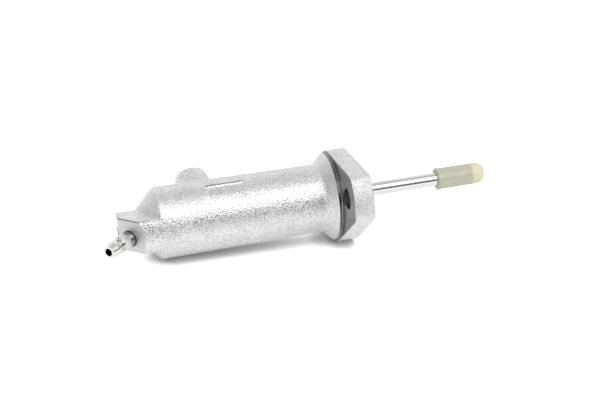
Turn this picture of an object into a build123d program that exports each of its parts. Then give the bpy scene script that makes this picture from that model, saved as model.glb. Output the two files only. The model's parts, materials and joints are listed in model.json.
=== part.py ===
from build123d import *
from math import acos, asin, cos, degrees, radians, sin, sqrt, tan
import os

os.makedirs("parts", exist_ok=True)

# Clutch slave cylinder, millimetres.
# X runs along the bore, +X the way the pushrod leaves, and X is 0 on the flange's front face.
# Z is square to the two long sides of the flange, on one of which the cylinder can lie.

# Bore and casting
bore_diameter = 20.64
bore_depth = 84.0
bore_corner_radius = 1.5
body_length = 85.15
body_front_diameter = 29.5
body_rear_diameter = 30.8
neck_fillet = 3.0
rear_edge_fillet = 1.6
rear_cone_length = 7.85
rear_cone_angle = 45.0

# Flange
flange_thickness = 8.84
flange_round_diameter = 39.8
ear_span = 74.6
ear_width = 18.6
ear_end_radius = 22.0
ear_corner_radius = 4.5
bolt_edge_distance = 9.8
bolt_hole_diameter = 8.8
flange_edge_break = 0.35
pilot_diameter = 38.1
pilot_width = 1.25
pilot_root_radius = 0.4

# Hydraulic port boss
port_distance = 65.6
port_tilt = 24.0
port_boss_diameter = 14.0
port_boss_reach = 23.4
port_boss_draft = 10.0
port_boss_chamfer = 0.8
port_boss_fillet = 3.0
port_thread_diameter = 10.0
port_thread_pitch = 1.0
port_thread_length = 9.0
port_countersink = 0.6
port_passage_diameter = 3.0

# Raised pad on the casting, left bare
pad_distance = 56.4
pad_length = 16.4
pad_width = 5.6
pad_offset = 1.2
pad_rise = 0.3
pad_tilt = 60.0
pad_edge_radius = 0.3

# Bleed lug behind the bore
lug_reach = 9.0
lug_top = 7.6
lug_bottom = 6.9
lug_far_side = 0.5
lug_tip_width = 6.6
lug_edge_radius = 0.9
lug_hole_diameter = 3.2
lug_hole_depth = 3.5

# Bleed screw
bleed_angle = 45.0
bleed_height = -0.9
bleed_crossing = 4.5
bleed_thread_diameter = 6.4
bleed_thread_length = 8.0
bleed_seat_angle = 45.0
bleed_passage_diameter = 2.6
bleed_tip_flat_diameter = 2.2
bleed_hex_across_flats = 7.0
bleed_hex_start = 3.2
bleed_hex_length = 4.2
bleed_hex_turn = 34.0
bleed_neck_diameter = 4.8
bleed_neck_length = 2.2
bleed_barb_diameter = 6.4
bleed_barb_land = 1.8
bleed_tip_diameter = 5.0
bleed_reach = 14.3
bleed_drilling_diameter = 3.3
bleed_drilling_end = 2.2
bleed_cross_hole_diameter = 1.5
bleed_mouth_chamfer = 0.45

# Mouth of the bore
boot_seat_step = 2.68
boot_seat_depth = 3.4
ring_wire_diameter = 1.5
ring_setback = 6.2
ring_gap_angle = 40.0
washer_thickness = 1.2
washer_width = 3.0

# Piston
piston_length = 22.0
piston_land = 2.4
front_seal_section = 2.6
cup_groove_width = 4.6
seal_groove_depth = 2.58
cup_lip_thickness = 1.1
cup_heel_length = 1.8
cup_heel_relief = 0.35
front_seal_edge_radius = 0.65
piston_nose_diameter = 10.0
piston_nose_length = 3.4
piston_edge_chamfer = 0.4
socket_mouth_wall = 0.9
socket_mouth_length = 6.0
socket_relief = 0.6

# Pushrod
rod_diameter = 6.0
rod_ball_diameter = 8.0
ball_setback = 16.4
clip_inner_diameter = 6.9
clip_outer_diameter = 11.2
clip_thickness = 0.9
clip_gap_angle = 50.0
tip_diameter = 9.36
tip_start = 40.2
tip_end = 62.4
tip_solid_length = 6.2
tip_nose_radius = 3.8
tip_lip_diameter = 9.7
tip_lip_length = 1.2

# Spring behind the piston
spring_wire_diameter = 1.3
spring_coils = 7
spring_front_radius = 7.2
spring_bore_clearance = 0.57
seat_thickness = 0.8
seat_collar_length = 2.4

# Dust boot
boot_rim_thickness = 2.4
boot_reach = 6.0
boot_wall = 1.0
boot_lip_length = 2.2

# Clearances
running_clearance = 0.04
seal_clearance = 0.03
seat_clearance = 0.05
loose_clearance = 0.12
boot_lip_clearance = 0.1
clip_play = 0.3
cut_overshoot = 1.0

# Sizes that follow from the ones above
bore_radius = bore_diameter / 2
body_front_radius = body_front_diameter / 2
body_rear_radius = body_rear_diameter / 2
pilot_radius = pilot_diameter / 2
flange_radius = flange_round_diameter / 2
ear_radius = ear_span / 2
bolt_spacing = ear_span - 2 * bolt_edge_distance
neck_end = flange_thickness + pilot_width + pilot_radius - body_front_radius
body_draft = (body_rear_radius - body_front_radius) / (body_length - neck_end)
rear_face = body_length + rear_cone_length
rear_face_radius = body_rear_radius - rear_cone_length * tan(radians(rear_cone_angle))
lug_end = rear_face + lug_reach
rod_radius = rod_diameter / 2


def body_radius(distance):
    """Outer radius of the drafted body at a distance behind the flange's front face."""
    return body_front_radius + body_draft * (distance - neck_end)


# The flange: a disc with a tangent ear each side, turned so that its long sides lie level
corner_y = ear_width / 2
corner_x = ear_radius - ear_end_radius + sqrt(ear_end_radius**2 - corner_y**2)
corner_distance = sqrt(corner_x**2 + corner_y**2)
ear_slope = acos(corner_y / corner_distance) - acos(flange_radius / corner_distance)
tangent_x = flange_radius * sin(ear_slope)
tangent_y = flange_radius * cos(ear_slope)
flange_plane = Plane(
    origin=(-flange_thickness, 0, 0),
    x_dir=(0, cos(ear_slope), -sin(ear_slope)),
    z_dir=(1, 0, 0),
)

# The bleed axis leaves the bore's end at an angle, towards the near side and the rear
bleed_x = -sin(radians(bleed_angle))
bleed_y = -cos(radians(bleed_angle))
bleed_axis_start = Vector(-(bore_depth + bleed_crossing), 0, bleed_height)
lug_tip_corner = Vector(-lug_end, lug_far_side - lug_tip_width, bleed_height)
bleed_out = Vector(bleed_x, bleed_y, 0)
bleed_side = Vector(-bleed_y, bleed_x, 0)
bleed_mouth = bleed_axis_start + bleed_out * (lug_tip_corner - bleed_axis_start).dot(bleed_out)
bleed_across = Plane(origin=bleed_mouth, x_dir=bleed_side, z_dir=bleed_out)
bleed_along = Plane(origin=bleed_mouth, x_dir=bleed_side, z_dir=bleed_side.cross(bleed_out))
bleed_axis = Axis(bleed_mouth, bleed_out)
bleed_seat_drop = (bleed_thread_diameter - bleed_tip_flat_diameter) / 2 / tan(radians(bleed_seat_angle))

# Places along the bore, from the mouth inwards
boot_seat_radius = bore_radius + boot_seat_step
ring_radius = bore_radius - running_clearance
ring_center = -ring_setback
ring_groove_front = ring_center + ring_wire_diameter / 2 + seat_clearance
ring_groove_back = ring_center - ring_wire_diameter / 2 - seat_clearance
ring_groove_radius = bore_radius + ring_wire_diameter / 2
washer_radius = bore_radius - loose_clearance
washer_back = ring_groove_back - washer_thickness
piston_front = washer_back - seat_clearance
piston_back = piston_front - piston_length
nose_back = piston_back - piston_nose_length
piston_radius = bore_radius - running_clearance
groove_floor_radius = piston_radius - seal_groove_depth
socket_mouth_radius = groove_floor_radius - socket_mouth_wall
front_groove_front = piston_front - piston_land
front_groove_back = front_groove_front - front_seal_section - 2 * seat_clearance
cup_groove_back = piston_back + piston_land
cup_groove_front = cup_groove_back + cup_groove_width
ball_center = piston_front - ball_setback
ball_radius = rod_ball_diameter / 2
socket_radius = ball_radius + seat_clearance
clip_back = ball_center + sqrt(ball_radius**2 - (clip_inner_diameter / 2) ** 2) + clip_play
clip_front = clip_back + clip_thickness

# Bleed lug: the drafted body carried on behind the bore and cut to a flat-sided block
lug_start = body_length - 2 * rear_edge_fillet
lug_near_y = -body_radius(lug_end)
lug_near_x = (lug_tip_corner.Y - lug_near_y) / tan(radians(bleed_angle)) - lug_end
with BuildPart() as bleed_lug:
    with BuildSketch(Plane.XY.offset(-lug_bottom)):
        with BuildLine():
            Polyline(
                (-lug_start, lug_far_side),
                (-lug_end, lug_far_side),
                (-lug_end, lug_far_side - lug_tip_width),
                (lug_near_x, lug_near_y),
                (-lug_start, lug_near_y),
                close=True,
            )
        make_face()
    extrude(amount=lug_top + lug_bottom)
    with BuildSketch(Plane.XZ):
        with BuildLine():
            Polyline(
                (-lug_start, 0),
                (-lug_start, body_radius(lug_start)),
                (-lug_end, body_radius(lug_end)),
                (-lug_end, 0),
                close=True,
            )
        make_face()
    revolve(axis=Axis.X, mode=Mode.INTERSECT)
    cast_edges = bleed_lug.edges().filter_by(lambda e: e.center().X < -lug_start - lug_edge_radius)
    level_edges = cast_edges.group_by(Axis.Z)[-1] + cast_edges.group_by(Axis.Z)[0]
    fillet(level_edges, lug_edge_radius)

# The casting, with the bore, the port and the bleed drilling machined into it
with BuildPart() as cylinder_body:
    with BuildSketch(flange_plane):
        with BuildLine():
            Line((tangent_x, tangent_y), (corner_x, corner_y))
            ThreePointArc((corner_x, corner_y), (ear_radius, 0), (corner_x, -corner_y))
            Line((corner_x, -corner_y), (tangent_x, -tangent_y))
            ThreePointArc((tangent_x, -tangent_y), (0, -flange_radius), (-tangent_x, -tangent_y))
            Line((-tangent_x, -tangent_y), (-corner_x, -corner_y))
            ThreePointArc((-corner_x, -corner_y), (-ear_radius, 0), (-corner_x, corner_y))
            Line((-corner_x, corner_y), (-tangent_x, tangent_y))
            ThreePointArc((-tangent_x, tangent_y), (0, flange_radius), (tangent_x, tangent_y))
        make_face()
        fillet(vertices().sort_by(SortBy.DISTANCE)[-4:], ear_corner_radius)
    extrude(amount=flange_thickness)
    face_edges = cylinder_body.faces().filter_by(Axis.X).edges()
    chamfer(face_edges, flange_edge_break)

    with BuildSketch(Plane.XZ):
        with BuildLine():
            Polyline(
                (-flange_thickness / 2, 0),
                (-flange_thickness / 2, pilot_radius),
                (-flange_thickness - pilot_width, pilot_radius),
                (-neck_end, body_front_radius),
                (-body_length, body_rear_radius),
                (-rear_face, rear_face_radius),
                (-rear_face, 0),
                close=True,
            )
        make_face()
        neck = vertices().sort_by_distance((-neck_end, body_front_radius))[0]
        fillet(neck, neck_fillet)
        rear = vertices().sort_by_distance((-body_length, body_rear_radius))[0]
        fillet(rear, rear_edge_fillet)
    revolve(axis=Axis.X)
    pilot_root = cylinder_body.edges().sort_by_distance((-flange_thickness, 0, pilot_radius))[0]
    fillet(pilot_root, pilot_root_radius)

    port_out = Vector(0, cos(radians(port_tilt)), sin(radians(port_tilt)))
    port_end = Vector(-port_distance, 0, 0) + port_out * port_boss_reach
    port_inward = Plane(origin=port_end, x_dir=(1, 0, 0), z_dir=port_out * -1)
    with BuildSketch(port_inward):
        Circle(port_boss_diameter / 2)
    extrude(amount=port_boss_reach - bore_radius / 2, taper=-port_boss_draft)
    boss_edges = cylinder_body.edges(Select.NEW).filter_by(GeomType.LINE, reverse=True)
    boss_root = boss_edges.filter_by(GeomType.CIRCLE, reverse=True)
    fillet(boss_root, port_boss_fillet)
    boss_rim_point = port_inward.from_local_coords((0, port_boss_diameter / 2))
    boss_rim = cylinder_body.edges().sort_by_distance(boss_rim_point)[0]
    chamfer(boss_rim, port_boss_chamfer)

    pad_out = Vector(0, -cos(radians(pad_tilt)), sin(radians(pad_tilt)))
    pad_face_height = body_radius(pad_distance) + pad_rise
    pad_root_height = (bore_radius + body_front_radius) / 2
    pad_root = Plane(
        origin=Vector(-pad_distance, 0, 0) + pad_out * pad_root_height,
        x_dir=(1, 0, 0),
        z_dir=pad_out,
    )
    with BuildSketch(pad_root):
        with Locations((0, pad_offset)):
            Rectangle(pad_length, pad_width)
    extrude(amount=pad_face_height - pad_root_height)
    pad_top = pad_root.from_local_coords((0, pad_offset + pad_width / 2, pad_face_height - pad_root_height))
    fillet(cylinder_body.edges().sort_by_distance(pad_top)[0], pad_edge_radius)

    add(bleed_lug.part)

    with BuildSketch(Plane.XZ):
        with BuildLine():
            Polyline(
                (cut_overshoot, 0),
                (cut_overshoot, boot_seat_radius),
                (-boot_seat_depth, boot_seat_radius),
                (-boot_seat_depth, bore_radius),
                (ring_groove_front, bore_radius),
                (ring_groove_front, ring_groove_radius),
                (ring_groove_back, ring_groove_radius),
                (ring_groove_back, bore_radius),
                (-bore_depth, bore_radius),
                (-bore_depth, 0),
                close=True,
            )
        make_face()
        bore_end = vertices().sort_by_distance((-bore_depth, bore_radius))[0]
        fillet(bore_end, bore_corner_radius)
    revolve(axis=Axis.X, mode=Mode.SUBTRACT)

    with BuildSketch(flange_plane):
        with Locations((bolt_spacing / 2, 0), (-bolt_spacing / 2, 0)):
            Circle(bolt_hole_diameter / 2)
    extrude(amount=flange_thickness, mode=Mode.SUBTRACT)

    port_drill_radius = (port_thread_diameter - port_thread_pitch) / 2
    with BuildSketch(port_inward):
        Circle(port_drill_radius)
    extrude(amount=port_thread_length, mode=Mode.SUBTRACT)
    port_mouth_point = port_inward.from_local_coords((0, port_drill_radius))
    port_mouth = cylinder_body.edges().sort_by_distance(port_mouth_point)[0]
    chamfer(port_mouth, port_countersink)
    with BuildSketch(port_inward):
        Circle(port_passage_diameter / 2)
    extrude(amount=port_boss_reach - bore_radius / 2, mode=Mode.SUBTRACT)

    hole_radius = bleed_thread_diameter / 2 + running_clearance
    seat_depth = bleed_thread_length + running_clearance + seat_clearance
    seat_drop = (hole_radius - bleed_passage_diameter / 2) / tan(radians(bleed_seat_angle))
    bore_crossing = bleed_crossing / sin(radians(bleed_angle)) + cut_overshoot
    passage_end = (bleed_mouth - bleed_axis_start).length + bore_crossing
    with BuildSketch(bleed_along):
        with BuildLine():
            Polyline(
                (0, cut_overshoot),
                (hole_radius + bleed_mouth_chamfer + cut_overshoot, cut_overshoot),
                (hole_radius, -bleed_mouth_chamfer),
                (hole_radius, -seat_depth),
                (bleed_passage_diameter / 2, -seat_depth - seat_drop),
                (bleed_passage_diameter / 2, -passage_end),
                (0, -passage_end),
                close=True,
            )
        make_face()
    revolve(axis=bleed_axis, mode=Mode.SUBTRACT)

    lug_end_center = (-lug_end, lug_far_side - lug_tip_width / 2, (lug_top - lug_bottom) / 2)
    with BuildSketch(Plane(origin=lug_end_center, x_dir=(0, 1, 0), z_dir=(1, 0, 0))):
        Circle(lug_hole_diameter / 2)
    extrude(amount=lug_hole_depth, mode=Mode.SUBTRACT)

cylinder_body.part.label = "cylinder_body"
export_step(cylinder_body.part, "parts/cylinder_body.step")

# Piston, with a front seal groove, a cup groove, a ball socket for the rod and a nose for the spring seat
with BuildPart() as piston:
    with BuildSketch(Plane.XZ):
        with BuildLine():
            Polyline(
                (piston_front, 0),
                (piston_front, piston_radius),
                (front_groove_front, piston_radius),
                (front_groove_front, groove_floor_radius),
                (front_groove_back, groove_floor_radius),
                (front_groove_back, piston_radius),
                (cup_groove_front, piston_radius),
                (cup_groove_front, groove_floor_radius),
                (cup_groove_back, groove_floor_radius),
                (cup_groove_back, piston_radius),
                (piston_back, piston_radius),
                (piston_back, piston_nose_diameter / 2),
                (nose_back, piston_nose_diameter / 2),
                (nose_back, 0),
                close=True,
            )
        make_face()
        outer_corners = vertices().group_by(Axis.Y)[-1]
        chamfer(outer_corners.sort_by(Axis.X)[0], piston_edge_chamfer)
        chamfer(outer_corners.sort_by(Axis.X)[-1], piston_edge_chamfer)
    revolve(axis=Axis.X)
    clip_groove_radius = clip_outer_diameter / 2 + seat_clearance
    with BuildSketch(Plane.XZ):
        with BuildLine():
            Polyline(
                (piston_front + cut_overshoot, 0),
                (piston_front + cut_overshoot, socket_mouth_radius),
                (piston_front, socket_mouth_radius),
                (piston_front - socket_mouth_length, socket_radius + socket_relief),
                (clip_front + seat_clearance, socket_radius + socket_relief),
                (clip_front + seat_clearance, clip_groove_radius),
                (clip_back - seat_clearance, clip_groove_radius),
                (clip_back - seat_clearance, socket_radius),
                (ball_center, socket_radius),
                (ball_center, 0),
                close=True,
            )
        make_face()
    revolve(axis=Axis.X, mode=Mode.SUBTRACT)
    with Locations((ball_center, 0, 0)):
        Sphere(socket_radius, mode=Mode.SUBTRACT)

piston.part.label = "piston"
export_step(piston.part, "parts/piston.step")

# Primary cup, its lips facing the pressure behind the piston
cup_outer = bore_radius - seal_clearance
cup_inner = groove_floor_radius + seal_clearance
cup_front = cup_groove_front - seat_clearance
cup_back = cup_groove_back + seat_clearance
with BuildPart() as piston_cup:
    with BuildSketch(Plane.XZ):
        with BuildLine():
            Polyline(
                (cup_front, cup_inner),
                (cup_front, cup_outer - cup_heel_relief),
                (cup_back, cup_outer),
                (cup_back, cup_outer - cup_lip_thickness / 2),
                (cup_front - cup_heel_length, (cup_outer + cup_inner) / 2),
                (cup_back, cup_inner + cup_lip_thickness / 2),
                (cup_back, cup_inner),
                close=True,
            )
        make_face()
    revolve(axis=Axis.X)

piston_cup.part.label = "piston_cup"
export_step(piston_cup.part, "parts/piston_cup.step")

# Front seal, a ring of rounded section
with BuildPart() as front_seal:
    with BuildSketch(Plane.XZ):
        with Locations(((front_groove_front + front_groove_back) / 2, (cup_outer + cup_inner) / 2)):
            Rectangle(front_seal_section, cup_outer - cup_inner)
        fillet(vertices(), front_seal_edge_radius)
    revolve(axis=Axis.X)

front_seal.part.label = "front_seal"
export_step(front_seal.part, "parts/front_seal.step")

# Spring seat, a flanged collar on the piston's nose
collar_radius = piston_nose_diameter / 2 + seat_clearance
seat_radius = spring_front_radius + spring_wire_diameter
with BuildPart() as spring_seat:
    with BuildSketch(Plane.XZ):
        with BuildLine():
            Polyline(
                (piston_back, collar_radius),
                (piston_back, seat_radius),
                (piston_back - seat_thickness, seat_radius),
                (piston_back - seat_thickness, collar_radius + seat_thickness),
                (piston_back - seat_thickness - seat_collar_length, collar_radius + seat_thickness),
                (piston_back - seat_thickness - seat_collar_length, collar_radius),
                close=True,
            )
        make_face()
    revolve(axis=Axis.X)

spring_seat.part.label = "spring_seat"
export_step(spring_seat.part, "parts/spring_seat.step")

# Tapered coil spring between the bore's end and the spring seat
wire_radius = spring_wire_diameter / 2
spring_front = piston_back - seat_thickness - seat_clearance - wire_radius
spring_back = -bore_depth + seat_clearance + wire_radius
spring_length = spring_front - spring_back
spring_rear_radius = bore_radius - spring_bore_clearance - wire_radius
spring_taper = degrees(asin((spring_rear_radius - spring_front_radius) / spring_length))
with BuildPart() as piston_spring:
    with BuildLine() as coil:
        Helix(
            pitch=spring_length / spring_coils,
            height=spring_length,
            radius=spring_rear_radius,
            center=(spring_back, 0, 0),
            direction=(1, 0, 0),
            cone_angle=-spring_taper,
        )
    with BuildSketch(Plane(origin=coil.line @ 0, z_dir=coil.line % 0)):
        Circle(wire_radius)
    sweep(path=coil.line, is_frenet=True)

piston_spring.part.label = "piston_spring"
export_step(piston_spring.part, "parts/piston_spring.step")

# Pushrod, a plain steel rod with a ball end in the piston's socket
rod_end = tip_end - tip_solid_length - seat_clearance
with BuildPart() as pushrod:
    with Locations((ball_center, 0, 0)):
        Sphere(ball_radius)
    with BuildSketch(Plane.YZ.offset(ball_center)):
        Circle(rod_radius)
    extrude(amount=rod_end - ball_center)

pushrod.part.label = "pushrod"
export_step(pushrod.part, "parts/pushrod.step")

# Open clip that keeps the ball in the piston
with BuildPart() as rod_clip:
    with BuildSketch(Plane.XZ):
        with Locations(((clip_front + clip_back) / 2, (clip_outer_diameter + clip_inner_diameter) / 4)):
            Rectangle(clip_thickness, (clip_outer_diameter - clip_inner_diameter) / 2)
    revolve(axis=Axis.X, revolution_arc=360 - clip_gap_angle)

rod_clip.part.label = "rod_clip"
export_step(rod_clip.part, "parts/rod_clip.step")

# Moulded tip pressed on the pushrod
with BuildPart() as pushrod_tip:
    with BuildSketch(Plane.XZ):
        with BuildLine():
            Polyline(
                (tip_start, rod_radius + seal_clearance),
                (tip_start, tip_lip_diameter / 2),
                (tip_start + tip_lip_length, tip_lip_diameter / 2),
                (tip_start + tip_lip_length, tip_diameter / 2),
                (tip_end, tip_diameter / 2),
                (tip_end, 0),
                (tip_end - tip_solid_length, 0),
                (tip_end - tip_solid_length, rod_radius + seal_clearance),
                close=True,
            )
        make_face()
        nose = vertices().sort_by_distance((tip_end, tip_diameter / 2))[0]
        fillet(nose, tip_nose_radius)
    revolve(axis=Axis.X)

pushrod_tip.part.label = "pushrod_tip"
export_step(pushrod_tip.part, "parts/pushrod_tip.step")

# Stop washer that the piston rests against
with BuildPart() as stop_washer:
    with BuildSketch(Plane.YZ.offset(washer_back)):
        Circle(washer_radius)
        Circle(washer_radius - washer_width, mode=Mode.SUBTRACT)
    extrude(amount=washer_thickness)

stop_washer.part.label = "stop_washer"
export_step(stop_washer.part, "parts/stop_washer.step")

# Round-wire snap ring that holds the washer, with its gap at the top
with BuildPart() as retaining_ring:
    with BuildSketch(Plane.XZ):
        with Locations((ring_center, ring_radius)):
            Circle(ring_wire_diameter / 2)
    revolve(axis=Axis.X, revolution_arc=360 - ring_gap_angle)

retaining_ring.part.label = "retaining_ring"
export_step(retaining_ring.part, "parts/retaining_ring.step")

# Rubber dust boot in the mouth of the bore, its lip round the rod
boot_outer = boot_seat_radius - seat_clearance
boot_back = -boot_seat_depth + seat_clearance
boot_lip_radius = rod_radius + boot_lip_clearance
boot_shoulder = boot_back + boot_rim_thickness
with BuildPart() as dust_boot:
    with BuildSketch(Plane.XZ):
        with BuildLine():
            Polyline(
                (boot_back, bore_radius - boot_wall),
                (boot_back, boot_outer),
                (boot_shoulder, boot_outer),
                (boot_shoulder, bore_radius),
                (boot_reach - boot_lip_length, boot_lip_radius + boot_wall),
                (boot_reach, boot_lip_radius + boot_wall),
                (boot_reach, boot_lip_radius),
                (boot_reach - boot_lip_length - boot_wall, boot_lip_radius),
                (boot_shoulder - boot_wall, bore_radius - boot_wall),
                close=True,
            )
        make_face()
    revolve(axis=Axis.X)

dust_boot.part.label = "dust_boot"
export_step(dust_boot.part, "parts/dust_boot.step")

# Bleed screw: cone seat, threaded shank, hexagon, neck and hose barb, drilled from its tip
neck_start = bleed_hex_start + bleed_hex_length
barb_start = neck_start + bleed_neck_length
with BuildPart() as bleed_screw:
    with BuildSketch(bleed_across.offset(bleed_hex_start)):
        hexagon = RegularPolygon(bleed_hex_across_flats / 2, 6, major_radius=False, rotation=bleed_hex_turn)
    extrude(amount=bleed_hex_length)
    hex_corner_radius = hexagon.radius
    hex_chamfer = hex_corner_radius - bleed_hex_across_flats / 2
    with BuildSketch(bleed_along):
        with BuildLine():
            Polyline(
                (0, bleed_hex_start),
                (hex_corner_radius - hex_chamfer, bleed_hex_start),
                (hex_corner_radius, bleed_hex_start + hex_chamfer),
                (hex_corner_radius, neck_start - hex_chamfer),
                (hex_corner_radius - hex_chamfer, neck_start),
                (0, neck_start),
                close=True,
            )
        make_face()
    revolve(axis=bleed_axis, mode=Mode.INTERSECT)
    with BuildSketch(bleed_along):
        with BuildLine():
            Polyline(
                (0, -bleed_thread_length - bleed_seat_drop),
                (bleed_tip_flat_diameter / 2, -bleed_thread_length - bleed_seat_drop),
                (bleed_thread_diameter / 2, -bleed_thread_length),
                (bleed_thread_diameter / 2, bleed_hex_start),
                (bleed_neck_diameter / 2, bleed_hex_start),
                (bleed_neck_diameter / 2, barb_start),
                (bleed_barb_diameter / 2, barb_start),
                (bleed_barb_diameter / 2, barb_start + bleed_barb_land),
                (bleed_tip_diameter / 2, bleed_reach),
                (0, bleed_reach),
                close=True,
            )
        make_face()
    revolve(axis=bleed_axis)
    with BuildSketch(bleed_across.offset(bleed_reach)):
        Circle(bleed_drilling_diameter / 2)
    extrude(amount=-(bleed_reach + bleed_thread_length - bleed_drilling_end), mode=Mode.SUBTRACT)
    cross_hole_depth = bleed_thread_length - bleed_drilling_end
    cross_plane = Plane(
        origin=bleed_mouth - bleed_out * (cross_hole_depth - bleed_cross_hole_diameter / 2),
        x_dir=bleed_out,
        z_dir=bleed_side,
    )
    with BuildSketch(cross_plane):
        Circle(bleed_cross_hole_diameter / 2)
    extrude(amount=bleed_thread_diameter, both=True, mode=Mode.SUBTRACT)

bleed_screw.part.label = "bleed_screw"
export_step(bleed_screw.part, "parts/bleed_screw.step")
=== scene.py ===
import json
from math import cos, pi, radians, sin, tau

import bmesh
import bpy
from mathutils import Matrix, Vector


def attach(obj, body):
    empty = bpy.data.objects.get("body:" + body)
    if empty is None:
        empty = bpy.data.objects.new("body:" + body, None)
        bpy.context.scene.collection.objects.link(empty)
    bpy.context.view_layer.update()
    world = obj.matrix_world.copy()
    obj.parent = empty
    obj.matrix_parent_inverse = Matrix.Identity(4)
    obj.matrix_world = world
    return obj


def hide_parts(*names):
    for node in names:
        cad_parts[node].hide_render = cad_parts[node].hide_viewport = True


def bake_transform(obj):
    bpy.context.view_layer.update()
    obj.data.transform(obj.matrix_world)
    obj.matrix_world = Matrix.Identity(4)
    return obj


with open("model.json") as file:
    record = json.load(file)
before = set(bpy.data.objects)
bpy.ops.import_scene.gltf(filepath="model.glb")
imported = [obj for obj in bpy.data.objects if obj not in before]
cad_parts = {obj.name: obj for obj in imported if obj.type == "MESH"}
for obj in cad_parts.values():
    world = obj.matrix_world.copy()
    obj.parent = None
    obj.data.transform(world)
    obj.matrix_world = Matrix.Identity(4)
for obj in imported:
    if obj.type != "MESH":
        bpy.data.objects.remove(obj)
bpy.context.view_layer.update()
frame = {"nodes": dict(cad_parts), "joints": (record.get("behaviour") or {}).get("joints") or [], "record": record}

mm = 0.001
parts = frame["nodes"]
print("frame loaded:", len(parts), "pieces")


# Short ways to add shader nodes; their places and sizes are in mm
def addNode(tree, kind, inputs=None, **settings):
    node = tree.nodes.new(kind)
    for key, value in settings.items():
        setattr(node, key, value)
    for key, value in (inputs or {}).items():
        if isinstance(value, bpy.types.NodeSocket):
            tree.links.new(value, node.inputs[key])
        else:
            node.inputs[key].default_value = value
    return node


def doMath(tree, operation, *values, clamp=False):
    node = addNode(tree, "ShaderNodeMath", dict(enumerate(values)), operation=operation, use_clamp=clamp)
    return node.outputs[0]


def times(tree, product, *factors):
    for factor in factors:
        product = doMath(tree, "MULTIPLY", product, factor)
    return product


def anyOf(tree, masks):
    mask = 0.0
    for other in masks:
        mask = doMath(tree, "MAXIMUM", mask, other)
    return mask


def vectorMath(tree, operation, output, *values):
    node = addNode(tree, "ShaderNodeVectorMath", dict(enumerate(values)), operation=operation)
    return node.outputs[output]


def dot(tree, vector, direction):
    return vectorMath(tree, "DOT_PRODUCT", "Value", vector, direction)


def lengthOf(tree, vector):
    return vectorMath(tree, "LENGTH", "Value", vector)


def awayFrom(tree, coords, place):
    return vectorMath(tree, "SUBTRACT", "Vector", coords, Vector(place) * mm)


def axes(tree, coords):
    return addNode(tree, "ShaderNodeSeparateXYZ", {0: coords}).outputs


def ramp(tree, factor, stops):
    node = addNode(tree, "ShaderNodeValToRGB", {"Fac": factor})
    bar = node.color_ramp
    while len(bar.elements) < len(stops):
        bar.elements.new(0.5)
    for element, (position, level) in zip(bar.elements, stops):
        element.position = position
        element.color = (level, level, level, 1)
    return node.outputs["Color"]


def fade(tree, value, low, high):
    node = addNode(tree, "ShaderNodeMapRange", {"Value": value, "From Min": low * mm, "From Max": high * mm})
    return node.outputs[0]


def opaque(colour):
    return (*colour, 1) if isinstance(colour, tuple) else colour


def darker(colour, share):
    return tuple(v * share for v in colour)


def mixColour(tree, factor, first, second, blend="MIX"):
    inputs = {0: factor, 6: opaque(first), 7: opaque(second)}
    return addNode(tree, "ShaderNodeMix", inputs, data_type="RGBA", blend_type=blend).outputs[2]


def mixValue(tree, factor, first, second):
    node = addNode(tree, "ShaderNodeMix", {0: factor, 2: first, 3: second}, data_type="FLOAT")
    return node.outputs[0]


def noise(tree, coords, size, detail=2.0, roughness=0.5):
    node = addNode(
        tree, "ShaderNodeTexNoise",
        {"Vector": coords, "Scale": 1 / (size * mm), "Detail": detail, "Roughness": roughness},
    )
    return node.outputs["Fac"]


def stretched(tree, coords, scale):
    return addNode(tree, "ShaderNodeMapping", {"Vector": coords, "Scale": scale}).outputs["Vector"]


def above(tree, value, low):
    return doMath(tree, "GREATER_THAN", value, low * mm)


def below(tree, value, high):
    return doMath(tree, "LESS_THAN", value, high * mm)


def between(tree, value, low, high):
    return times(tree, above(tree, value, low), below(tree, value, high))


def near(tree, value, place, margin=0.04):
    return doMath(tree, "COMPARE", value, place * mm, margin * mm)


def turningRings(tree, distance, pitch):
    wave = doMath(tree, "SINE", times(tree, distance, tau / (pitch * mm)))
    return doMath(tree, "MULTIPLY_ADD", wave, 0.5, 0.5)


def drilled(tree, coords, hole):
    fromMouth = awayFrom(tree, coords, hole["mouth"])
    across = lengthOf(tree, vectorMath(tree, "CROSS_PRODUCT", "Vector", fromMouth, hole["out"]))
    along = dot(tree, fromMouth, hole["out"])
    return times(tree, below(tree, across, hole["radius"]), above(tree, along, -hole["depth"]))


def anyHole(tree, coords, holes):
    return anyOf(tree, [drilled(tree, coords, hole) for hole in holes])


def seenBy(tree):
    light = addNode(tree, "ShaderNodeLightPath").outputs
    mirrored = doMath(tree, "ADD", light["Is Glossy Ray"], light["Is Transmission Ray"], clamp=True)
    return light["Is Camera Ray"], mirrored


def startMaterial(name, metallic):
    material = bpy.data.materials.new(name)
    material.use_nodes = True
    tree = material.node_tree
    shader = tree.nodes["Principled BSDF"]
    shader.inputs["Metallic"].default_value = metallic
    coords = addNode(tree, "ShaderNodeTexCoord").outputs["Object"]
    return material, tree, shader, coords


def finishWith(tree, shader, tone, roughness, height, depth):
    bump = addNode(tree, "ShaderNodeBump", {"Height": height, "Strength": 1.0, "Distance": depth * mm})
    tree.links.new(tone, shader.inputs["Base Color"])
    tree.links.new(roughness, shader.inputs["Roughness"])
    tree.links.new(bump.outputs["Normal"], shader.inputs["Normal"])


# The camera stands at the angle of the photograph
cameraSettings = {
    "azimuth": 14.3,
    "elevation": 22.707,
    "roll": -3.337,
    "acrossMm": 21.575,  # how far the frame's origin lies from the middle of the picture
    "upMm": 3.175,
    "distanceMm": 581.947,
    "lens": 80.12,
    "sensor": 36,
    "clipStart": 0.01,
}


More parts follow.
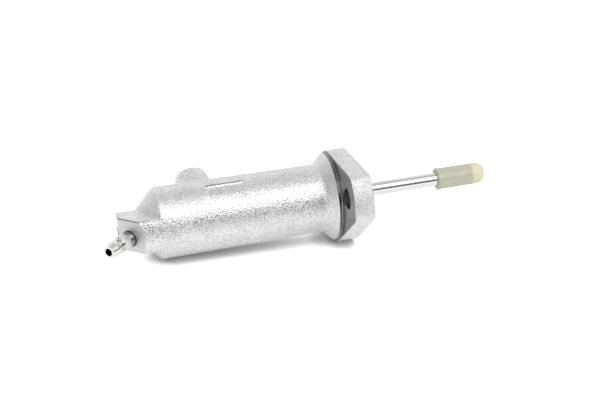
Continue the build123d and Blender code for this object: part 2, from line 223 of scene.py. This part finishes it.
def makeCamera(s):
    a, e, r = radians(s["azimuth"]), radians(s["elevation"]), radians(s["roll"])
    view = Vector((sin(a) * cos(e), cos(a) * cos(e), -sin(e)))
    level = Vector((cos(a), -sin(a), 0))
    upright = level.cross(view)
    right = level * cos(r) + upright * sin(r)
    up = upright * cos(r) - level * sin(r)
    eye = -right * s["acrossMm"] - up * s["upMm"] - view * s["distanceMm"]
    data = bpy.data.cameras.new("camera")
    data.lens = s["lens"]
    data.sensor_width = s["sensor"]
    data.clip_start = s["clipStart"]
    camera = bpy.data.objects.new("camera", data)
    bpy.context.scene.collection.objects.link(camera)
    turn = Matrix((right, up, -view)).transposed().to_4x4()
    camera.matrix_world = Matrix.Translation(eye * mm) @ turn
    bpy.context.scene.camera = camera


makeCamera(cameraSettings)
print("camera set")


# The cylinder rests on the flange's edge and on the rear of its body
floorSettings = {
    "frontContact": (-8.84, -19.93),  # x and z, in mm
    "rearContact": (-84.0, -15.45),
    "radius": 1.6,
    "segments": 96,
    "frontEdge": -0.21,
    "colour": 0.9,
    "contactShadowColour": 0.62,
    "coreStops": (0.1, 0.42),  # openness at the dark core of the painted contact shadow and where the floor is clear again
    "contactReach": 7.5,
    "contactStops": [(0.3, 0.0), (0.73, 1.0)],
    "glow": 0.6,
    "mirroredGlow": 0.2,
}


def paleFloor(s):
    material = bpy.data.materials.new("paleFloor")
    material.use_nodes = True
    tree = material.node_tree
    tree.nodes.clear()
    cameraRay, mirrored = seenBy(tree)
    openness = addNode(tree, "ShaderNodeAmbientOcclusion", {"Distance": s["contactReach"] * mm}).outputs["AO"]
    # painted contact shadow: the floor's colour darkens where the AO node finds the object close
    core, clear = s["coreStops"]
    paint = ramp(tree, openness, [(core, s["contactShadowColour"]), (clear, s["colour"])])
    matt = addNode(tree, "ShaderNodeBsdfDiffuse", {"Color": paint})

    # a glow lifts the floor to white; the AO ramp holds it back near the object, which paints the contact shadow
    seen = times(tree, cameraRay, ramp(tree, openness, s["contactStops"]), s["glow"])
    seen = doMath(tree, "MULTIPLY_ADD", mirrored, s["mirroredGlow"], seen)
    glow = addNode(tree, "ShaderNodeEmission", {"Strength": seen})
    both = addNode(tree, "ShaderNodeAddShader", {0: matt.outputs[0], 1: glow.outputs[0]})
    addNode(tree, "ShaderNodeOutputMaterial", {"Surface": both.outputs[0]})
    return material


def makeFloor(s):
    (frontX, frontZ), (rearX, rearZ) = s["frontContact"], s["rearContact"]
    slope = (frontZ - rearZ) / (frontX - rearX)
    mesh = bmesh.new()
    bmesh.ops.create_circle(mesh, cap_ends=True, radius=s["radius"], segments=s["segments"])
    for vertex in mesh.verts:
        vertex.co.z = frontZ * mm + slope * (vertex.co.x - frontX * mm)
    everything = mesh.verts[:] + mesh.edges[:] + mesh.faces[:]
    edge = (0, s["frontEdge"], 0)
    bmesh.ops.bisect_plane(mesh, geom=everything, plane_co=edge, plane_no=(0, -1, 0), clear_outer=True)
    data = bpy.data.meshes.new("floor")
    mesh.to_mesh(data)
    mesh.free()
    data.materials.append(paleFloor(s))
    floor = bpy.data.objects.new("floor", data)
    bpy.context.scene.collection.objects.link(floor)


makeFloor(floorSettings)
print("floor laid")


# A white room; in reflections it is darker low behind the camera and at one side
roomSettings = {
    "ambient": (0.8, 0.8, 0.8),
    "cameraColour": (1.0, 1.0, 1.0),
    "archStops": [  # from the floor behind the camera, over the top, to the floor at the far side
        (0.0, 0.04), (0.05, 0.06), (0.11, 0.55), (0.18, 0.95),
        (0.36, 0.95), (0.46, 0.62), (0.6, 0.6), (0.74, 0.9), (1.0, 1.0),
    ],
    "sideStops": [(0.0, 0.7), (0.14, 0.7), (0.3, 1.0)],
}


def makeRoom(s):
    world = bpy.data.worlds.new("studio")
    world.use_nodes = True
    bpy.context.scene.world = world
    tree = world.node_tree
    tree.nodes.clear()
    cameraRay, mirrored = seenBy(tree)
    x, y, z = axes(tree, addNode(tree, "ShaderNodeTexCoord").outputs["Generated"])
    angle = doMath(tree, "ARCTAN2", z, times(tree, y, -1.0))
    walls = ramp(tree, doMath(tree, "DIVIDE", angle, pi, clamp=True), s["archStops"])
    sides = ramp(tree, doMath(tree, "MULTIPLY_ADD", x, 0.5, 0.5), s["sideStops"])
    walls = vectorMath(tree, "MULTIPLY", "Vector", walls, sides)
    colour = mixColour(tree, mirrored, s["ambient"], walls)
    colour = mixColour(tree, cameraRay, colour, s["cameraColour"])
    sky = addNode(tree, "ShaderNodeBackground", {"Color": colour, "Strength": 1.0})
    addNode(tree, "ShaderNodeOutputWorld", {"Surface": sky.outputs[0]})


# One long softbox in front and above
softboxSettings = {
    "direction": (0.18, -0.68, 0.71),
    "distance": 1.1,
    "size": (1.1, 0.55),
    "power": 3.2,
}


def makeSoftbox(s):
    data = bpy.data.lights.new("softbox", "AREA")
    data.shape = "RECTANGLE"
    data.size, data.size_y = s["size"]
    data.energy = s["power"]
    box = bpy.data.objects.new("softbox", data)
    bpy.context.scene.collection.objects.link(box)
    direction = Vector(s["direction"]).normalized()
    turn = direction.to_track_quat("Z", "Y").to_matrix().to_4x4()
    box.matrix_world = Matrix.Translation(direction * s["distance"]) @ turn


makeRoom(roomSettings)
makeSoftbox(softboxSettings)
bpy.context.scene.view_settings.view_transform = "Standard"
print("studio lit")


# Where the bleed screw, the port and the two bolts go, in mm, as the frame says
joints = {joint["name"]: joint for joint in frame["joints"]}
mounts = {mount["name"]: mount for mount in frame["record"]["mounts"]}
bleedMouth = Vector(joints["bleed_turn"]["pos_m"]) / mm
bleedOut = Vector(joints["bleed_turn"]["axis"]).normalized()
portMountDepth = 5.0  # the port's mount lies this far inside its mouth
portOut = Vector(mounts["hydraulic_port"]["axis"]).normalized()
portMouth = Vector(mounts["hydraulic_port"]["pos_m"]) / mm + portOut * portMountDepth
boltSpacing = mounts["flange_holes"]["dims"]["pcd_mm"]
boltPlace = Vector(mounts["flange_face"]["pos_m"]).normalized() * boltSpacing / 2

castSettings = {
    # blasted skin
    "colour": (0.93, 0.93, 0.93),
    "dullColour": (0.83, 0.83, 0.83),
    "dullSize": 7.0,
    "dullStops": [(0.35, 0.0), (0.65, 1.0)],
    "pitSize": 0.52,
    "pitShade": [(0.36, 0.7), (0.53, 1.0)],
    "fineSize": 0.5,
    "fineHeight": 0.15,
    "fleckSize": 0.45,
    "fleckShare": 0.3,
    "fleckColour": (0.92, 0.92, 0.92),
    "roughness": (0.14, 0.48),
    "flangeStart": -8.55,  # x, in mm; the flange's edge is rougher than the body
    "flangeRoughness": (0.36, 0.76),
    "depth": 0.24,
    # bare pad: its two directions, and where it lies along them and along x
    "padOut": (0, -0.5, 0.866),
    "padAcross": (0, 0.866, 0.5),
    "padHeight": 14.6,
    "padReach": (-64.4, -48.4),
    "padRim": (2.1, 3.2),
    "padRimHeight": 1.1,
    # painted shade along the pad's upper edge: where across the pad it lies, its break-up and its colour
    "padShadeLine": (3.2, 4.1),
    "padShadeLinePits": [(0.35, 0.2), (0.6, 1.0)],
    "padShadeLineColour": (0.16, 0.16, 0.16),
    # fillet along the upper edge of the bleed lug
    "lugEdge": (6.95, 7.4),
    "lugEdgeEnd": -83.5,
    "lugEdgeSide": -3.0,
    "lugEdgePits": [(0.3, 0.4), (0.55, 1.0)],
    "lugEdgeColour": (0.42, 0.42, 0.42),
    # turned faces of the flange, the band behind it and the bore
    "machinedColour": (0.72, 0.72, 0.72),
    "machinedRoughness": (0.24, 0.34),
    "grooveShade": 0.7,
    "ringPitch": 0.32,
    "ringWear": 1.6,
    "ringHeight": 0.03,
    "frontFace": 0.0,
    "backFace": (-10.1, -8.6),
    # painted dark reflection: the flange's back face and the band behind it get a dark colour for what they mirror
    "backShadeColour": (0.24, 0.24, 0.245),
    "backRoughness": 0.16,
    "boreRadius": 13.05,
    "boreEnd": -84.5,
    # milled seat of the bleed lug
    "lugColour": (0.8, 0.8, 0.8),
    "lugGroove": (0.66, 0.66, 0.66),
    "lugRoughness": 0.5,
    "lugRingPitch": 0.9,
    # drilled holes, painted dark inside as shade in the recess
    "holeShadeColour": (0.12, 0.12, 0.12),
    "holes": [
        {"mouth": (-102, -2.8, 0.35), "out": (-1, 0, 0), "radius": 1.63, "depth": 4},
        {"mouth": bleedMouth, "out": bleedOut, "radius": 3.27, "depth": 12},
        {"mouth": portMouth, "out": portOut, "radius": 4.53, "depth": 14},
    ],
    # painted shade inside the bolt holes
    "boltHoleShadeColour": (0.34, 0.34, 0.34),
    "boltHoles": [
        {"mouth": boltPlace, "out": (1, 0, 0), "radius": 4.43, "depth": 9},
        {"mouth": -boltPlace, "out": (1, 0, 0), "radius": 4.43, "depth": 9},
    ],
}


def blastedSkin(tree, coords, s):
    x, y, z = axes(tree, coords)
    pits = noise(tree, coords, s["pitSize"], detail=1.0, roughness=0.45)
    fine = noise(tree, coords, s["fineSize"], detail=1.0, roughness=0.4)
    patches = noise(tree, coords, s["dullSize"])
    cells = addNode(tree, "ShaderNodeTexVoronoi", {"Vector": coords, "Scale": 1 / (s["fleckSize"] * mm)})
    flecks = addNode(tree, "ShaderNodeSeparateColor", {0: cells.outputs["Color"]}).outputs[0]
    tone = mixColour(tree, ramp(tree, patches, s["dullStops"]), s["colour"], s["dullColour"])
    tone = mixColour(tree, times(tree, flecks, s["fleckShare"]), tone, s["fleckColour"])
    tone = mixColour(tree, 1.0, tone, ramp(tree, pits, s["pitShade"]), blend="MULTIPLY")

    # painted shade: a dark line along the upper edge of the bare pad
    onPad = above(tree, dot(tree, coords, s["padOut"]), s["padHeight"])
    onPad = times(tree, onPad, between(tree, x, *s["padReach"]))
    padAcross = dot(tree, coords, s["padAcross"])
    padShadeLine = times(tree, onPad, between(tree, padAcross, *s["padShadeLine"]), ramp(tree, pits, s["padShadeLinePits"]))
    tone = mixColour(tree, padShadeLine, tone, s["padShadeLineColour"])

    # shaded fillet along the lug's upper edge, on the bleed screw's side
    onLug = times(tree, below(tree, x, s["lugEdgeEnd"]), below(tree, y, s["lugEdgeSide"]))
    lugEdge = times(tree, between(tree, z, *s["lugEdge"]), onLug, ramp(tree, pits, s["lugEdgePits"]))
    tone = mixColour(tree, lugEdge, tone, s["lugEdgeColour"])

    roughness = mixValue(tree, flecks, *s["roughness"])
    flangeRoughness = mixValue(tree, flecks, *s["flangeRoughness"])
    roughness = mixValue(tree, above(tree, x, s["flangeStart"]), roughness, flangeRoughness)

    rim = times(tree, fade(tree, padAcross, *s["padRim"]), onPad, s["padRimHeight"])
    height = doMath(tree, "ADD", doMath(tree, "MULTIPLY_ADD", fine, s["fineHeight"], pits), rim)
    return tone, roughness, height


def machinedSkin(tree, coords, s):
    x, y, z = axes(tree, coords)
    radius = lengthOf(tree, addNode(tree, "ShaderNodeCombineXYZ", {1: y, 2: z}).outputs[0])
    fromBleed = awayFrom(tree, coords, bleedMouth)
    fromPort = awayFrom(tree, coords, portMouth)
    frontFace = near(tree, x, s["frontFace"])
    backFace = between(tree, x, *s["backFace"])
    lugFace = near(tree, dot(tree, fromBleed, bleedOut), 0.0)
    portFace = near(tree, dot(tree, fromPort, portOut), 0.0)
    bore = times(tree, below(tree, radius, s["boreRadius"]), above(tree, x, s["boreEnd"]))
    holes = anyHole(tree, coords, s["holes"])
    boltHoles = anyHole(tree, coords, s["boltHoles"])
    machined = anyOf(tree, [backFace, frontFace, lugFace, portFace, bore, holes, boltHoles])

    # rings left by the tool, round the bore and round the bleed screw
    lugRings = turningRings(tree, lengthOf(tree, fromBleed), s["lugRingPitch"])
    rings = turningRings(tree, doMath(tree, "ADD", radius, x), s["ringPitch"])
    rings = mixValue(tree, lugFace, rings, lugRings)
    rings = times(tree, rings, noise(tree, coords, s["ringWear"]))

    groove = darker(s["machinedColour"], s["grooveShade"])
    tone = mixColour(tree, rings, groove, s["machinedColour"])
    tone = mixColour(tree, lugFace, tone, mixColour(tree, lugRings, s["lugGroove"], s["lugColour"]))
    # painted dark reflection on the flange's back face and the band behind it
    tone = mixColour(tree, backFace, tone, s["backShadeColour"])
    # painted shade inside the bolt holes
    tone = mixColour(tree, boltHoles, tone, s["boltHoleShadeColour"])
    # painted shade inside the drilled holes
    tone = mixColour(tree, holes, tone, s["holeShadeColour"])

    roughness = mixValue(tree, rings, *s["machinedRoughness"])
    roughness = mixValue(tree, backFace, roughness, s["backRoughness"])
    roughness = mixValue(tree, lugFace, roughness, s["lugRoughness"])
    return machined, tone, roughness, times(tree, rings, s["ringHeight"])


def castAluminium(s):
    material, tree, shader, coords = startMaterial("castAluminium", 1.0)
    castTone, castRoughness, castHeight = blastedSkin(tree, coords, s)
    machined, tone, roughness, height = machinedSkin(tree, coords, s)
    tone = mixColour(tree, machined, castTone, tone)
    roughness = mixValue(tree, machined, castRoughness, roughness)
    height = mixValue(tree, machined, castHeight, height)
    finishWith(tree, shader, tone, roughness, height, s["depth"])
    return material


rodSettings = {
    "colour": (0.86, 0.86, 0.87),
    "wornShade": 0.93,
    "wearSize": 5.0,
    "scratchSize": 0.06,
    "scratchStretch": (1.0, 0.02, 0.02),
    "roughness": (0.1, 0.18),
    "depth": 0.002,
}


def groundSteel(s):
    material, tree, shader, coords = startMaterial("groundSteel", 1.0)
    along = stretched(tree, coords, s["scratchStretch"])
    scratches = noise(tree, along, s["scratchSize"], detail=3.0, roughness=0.7)
    wear = noise(tree, coords, s["wearSize"], detail=3.0)
    tone = mixColour(tree, wear, s["colour"], darker(s["colour"], s["wornShade"]))
    roughness = mixValue(tree, times(tree, scratches, wear), *s["roughness"])
    finishWith(tree, shader, tone, roughness, scratches, s["depth"])
    return material


tipSettings = {
    "sleeve": (0.74, 0.74, 0.59),  # over the rod
    "solid": (0.86, 0.80, 0.56),  # past the rod's end
    "solidReach": (55.4, 57.0),  # x where one turns into the other
    "cloud": (0.93, 0.91, 0.78),
    "cloudSize": 3.0,
    "cloudShare": 0.25,
    "clarity": (0.35, 0.12),
    "refraction": 1.53,
    "skinSize": 0.5,
    "roughness": (0.24, 0.36),
    "depth": 0.006,
}


def naturalNylon(s):
    material, tree, shader, coords = startMaterial("naturalNylon", 0.0)
    shader.inputs["IOR"].default_value = s["refraction"]
    solid = fade(tree, axes(tree, coords)["X"], *s["solidReach"])
    tree.links.new(mixValue(tree, solid, *s["clarity"]), shader.inputs["Transmission Weight"])
    cloud = noise(tree, coords, s["cloudSize"])
    skin = noise(tree, coords, s["skinSize"])
    tone = mixColour(tree, solid, s["sleeve"], s["solid"])
    tone = mixColour(tree, times(tree, cloud, s["cloudShare"]), tone, s["cloud"])
    finishWith(tree, shader, tone, mixValue(tree, skin, *s["roughness"]), skin, s["depth"])
    return material


zincSettings = {
    "colour": (0.83, 0.84, 0.86),
    "warmth": (1.0, 0.97, 0.9),
    "cloudSize": 1.8,
    "grainSize": 0.15,
    "roughness": (0.1, 0.22),
    "depth": 0.006,
    "shadeBands": [(-12.0, 3.15, 0.3), (7.42, 7.62, 0.25), (9.5, 9.58, 0.3)],  # heights over the lug, grey: painted shade in the mouth and at the neck's two corners
    # painted shade inside the screw's drilled hole
    "holeShadeColour": (0.04, 0.04, 0.04),
    "holes": [{"mouth": bleedMouth, "out": bleedOut, "radius": 1.66, "depth": 9}],
}
springSettings = {
    **zincSettings,
    "colour": (0.56, 0.57, 0.58),
    "roughness": (0.2, 0.36),
    "depth": 0.004,
    "shadeBands": [],
    "holes": [],
}


def brightSteel(name, s):
    material, tree, shader, coords = startMaterial(name, 1.0)
    cloud = noise(tree, coords, s["cloudSize"], detail=3.0)
    grain = noise(tree, coords, s["grainSize"])
    warm = tuple(v * w for v, w in zip(s["colour"], s["warmth"]))
    tone = mixColour(tree, cloud, s["colour"], warm)
    along = dot(tree, awayFrom(tree, coords, bleedMouth), bleedOut)
    # painted shade bands along the screw's axis, in the mouth and at the neck's corners
    for low, high, level in s["shadeBands"]:
        tone = mixColour(tree, between(tree, along, low, high), tone, (level, level, level))
    # painted shade inside the drilled hole
    tone = mixColour(tree, anyHole(tree, coords, s["holes"]), tone, s["holeShadeColour"])
    finishWith(tree, shader, tone, mixValue(tree, grain, *s["roughness"]), grain, s["depth"])
    return material


bootSettings = {
    "colour": (0.022, 0.022, 0.023),
    "dust": (0.06, 0.058, 0.055),
    "dustSize": 4.0,
    "skinSize": 0.35,
    "roughness": (0.5, 0.7),
    "depth": 0.02,
}
sealSettings = {**bootSettings, "roughness": (0.35, 0.5)}


def blackRubber(name, s):
    material, tree, shader, coords = startMaterial(name, 0.0)
    cloud = noise(tree, coords, s["dustSize"], detail=3.0)
    skin = noise(tree, coords, s["skinSize"], detail=3.0)
    tone = mixColour(tree, cloud, s["colour"], s["dust"])
    finishWith(tree, shader, tone, mixValue(tree, skin, *s["roughness"]), skin, s["depth"])
    return material


pistonSettings = {
    "colour": (0.74, 0.75, 0.76),
    "grooveShade": 0.88,
    "ringPitch": 0.18,
    "ringWear": 2.0,
    "roughness": (0.2, 0.34),
    "depth": 0.004,
}


def turnedAluminium(s):
    material, tree, shader, coords = startMaterial("turnedAluminium", 1.0)
    rings = turningRings(tree, axes(tree, coords)["X"], s["ringPitch"])
    rings = times(tree, rings, noise(tree, coords, s["ringWear"]))
    tone = mixColour(tree, rings, s["colour"], darker(s["colour"], s["grooveShade"]))
    finishWith(tree, shader, tone, mixValue(tree, rings, *s["roughness"]), rings, s["depth"])
    return material


finishes = {
    "castAluminium": castAluminium(castSettings),
    "groundSteel": groundSteel(rodSettings),
    "naturalNylon": naturalNylon(tipSettings),
    "brightZinc": brightSteel("brightZinc", zincSettings),
    "springSteel": brightSteel("springSteel", springSettings),
    "bootRubber": blackRubber("bootRubber", bootSettings),
    "sealRubber": blackRubber("sealRubber", sealSettings),
    "turnedAluminium": turnedAluminium(pistonSettings),
}

finishOfPart = {
    "cylinder_body": "castAluminium",
    "piston": "turnedAluminium",
    "piston_cup": "sealRubber",
    "front_seal": "sealRubber",
    "spring_seat": "springSteel",
    "piston_spring": "springSteel",
    "pushrod": "groundSteel",
    "rod_clip": "springSteel",
    "pushrod_tip": "naturalNylon",
    "stop_washer": "springSteel",
    "retaining_ring": "springSteel",
    "dust_boot": "bootRubber",
    "bleed_screw": "brightZinc",
}
for partName, finishName in finishOfPart.items():
    for slot in parts[partName].material_slots:
        slot.material = finishes[finishName]
print("finishes applied")


def placePiece(name, mesh, finish):
    data = bpy.data.meshes.new(name)
    mesh.to_mesh(data)
    mesh.free()
    data.materials.append(finishes[finish])
    piece = bpy.data.objects.new(name, data)
    bpy.context.scene.collection.objects.link(piece)
    return piece


# Cut threads, where the solids have plain cylinders; a negative height points inwards
threads = {
    "bleedThread": {
        "mouth": bleedMouth, "out": bleedOut, "start": 0.05, "turns": 3, "pitch": 0.9,
        "radius": 3.18, "height": 0.27,
        "finish": "brightZinc", "body": "bleeder", "slot": "zinc_steel",
    },
    "portThread": {
        "mouth": portMouth, "out": portOut, "start": -8.9, "turns": 7, "pitch": 1.0,
        "radius": 4.52, "height": -0.48,
        "finish": "castAluminium", "body": "housing", "slot": "cast_aluminium",
    },
}
threadForm = {
    "steps": 48,  # in one turn
    "crest": (0.44, 0.56),  # shares of the pitch
    "runOut": 0.4,  # turns over which the crest rises at either end
    "endHeight": 0.1,
    "crestMargin": 0.01,
}


def makeThread(name, s, form):
    mesh = bmesh.new()
    crest = s["radius"] + s["height"]
    crestStart, crestEnd = form["crest"]
    profile = [(s["radius"], 0.0), (crest, crestStart), (crest, crestEnd), (s["radius"], 1.0)]
    corners = [mesh.verts.new((r, 0, s["start"] + share * s["pitch"])) for r, share in profile]
    strip = [mesh.edges.new(pair) for pair in zip(corners, corners[1:])]
    bmesh.ops.spin(
        mesh, geom=corners + strip, cent=(0, 0, 0), axis=(0, 0, 1), angle=tau * s["turns"],
        dvec=(0, 0, s["pitch"] / form["steps"]), steps=form["steps"] * s["turns"], use_merge=False,
    )

    # the crest runs out at both ends
    for vertex in mesh.verts:
        r = vertex.co.xy.length
        if abs(r - crest) < form["crestMargin"]:
            done = (vertex.co.z - s["start"]) / s["pitch"] - (crestStart + crestEnd) / 2
            rise = min(done, s["turns"] - done) / form["runOut"] + form["endHeight"]
            vertex.co.xy *= (s["radius"] + s["height"] * max(0.0, min(1.0, rise))) / r

    bmesh.ops.recalc_face_normals(mesh, faces=mesh.faces[:])
    first = mesh.faces[:][0]
    outwards = first.normal.xy.dot(first.calc_center_median().xy) > 0
    if outwards != (s["height"] > 0):
        bmesh.ops.reverse_faces(mesh, faces=mesh.faces[:])
    turn = s["out"].to_track_quat("Z", "Y").to_matrix().to_4x4()
    place = Matrix.Scale(mm, 4) @ Matrix.Translation(s["mouth"]) @ turn
    bmesh.ops.transform(mesh, matrix=place, verts=mesh.verts[:])
    thread = placePiece(name, mesh, s["finish"])
    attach(thread, s["body"])


for threadName, threadSize in threads.items():
    makeThread(threadName, threadSize, threadForm)
print("threads cut")


# The coil shortens between the bore's end and the piston; a merged copy takes its place
returnSpring = {
    "rear": -83.3,  # x where the coil starts to shorten
    "front": -31.75,  # x from which it moves with the piston
    "merge": 0.0005,
}


def makeSpring(s):
    mesh = bmesh.new()
    mesh.from_mesh(parts["piston_spring"].data)
    bmesh.ops.remove_doubles(mesh, verts=mesh.verts[:], dist=s["merge"] * mm)
    bmesh.ops.recalc_face_normals(mesh, faces=mesh.faces[:])
    for face in mesh.faces:
        face.smooth = True
    spring = placePiece("returnSpring", mesh, "springSteel")
    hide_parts("piston_spring")
    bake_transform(spring)


makeSpring(returnSpring)
print("spring coiled")
